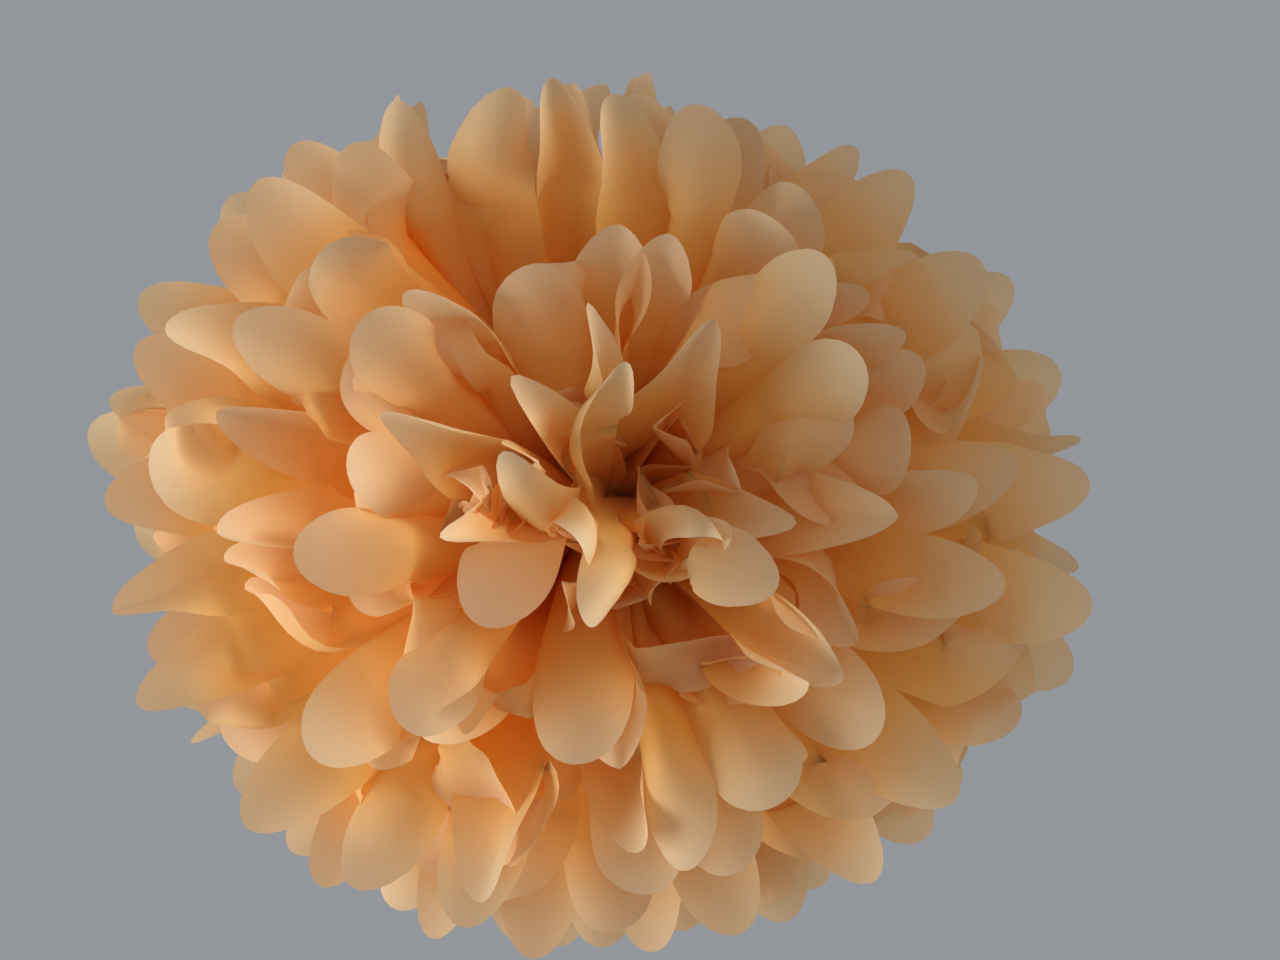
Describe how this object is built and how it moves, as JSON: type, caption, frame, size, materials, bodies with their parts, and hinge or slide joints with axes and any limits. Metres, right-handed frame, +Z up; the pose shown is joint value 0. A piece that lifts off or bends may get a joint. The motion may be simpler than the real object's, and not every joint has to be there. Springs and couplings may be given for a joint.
{
  "type": "tissue paper pom pom",
  "caption": "Hanging ball of pleated tissue sheets with rounded petal ends, gathered at a wire tie whose twisted stem ends in a hanging eye.",
  "frame": {"origin": "inside the top of the tie wire's eye, where the hanging line bears", "axes": "+Z up along the hanging line; +X along the pleats of the folded stack, which is the ball's longest way across; the parting between the two half-fans lies in the YZ plane"},
  "size_m": [0.5014, 0.4214, 0.389],
  "materials": {
    "peach_tissue": "matt, thin and translucent",
    "tie_wire": "bright drawn wire"
  },
  "bodies": {
    "root": {"lower_sheet_1": "peach_tissue", "lower_sheet_2": "peach_tissue", "lower_sheet_3": "peach_tissue", "lower_sheet_4": "peach_tissue", "lower_sheet_5": "peach_tissue", "upper_sheet_1": "peach_tissue", "upper_sheet_2": "peach_tissue", "upper_sheet_3": "peach_tissue", "upper_sheet_4": "peach_tissue", "upper_sheet_5": "peach_tissue", "tie_wire": "tie_wire"}
  },
  "joints": []
}
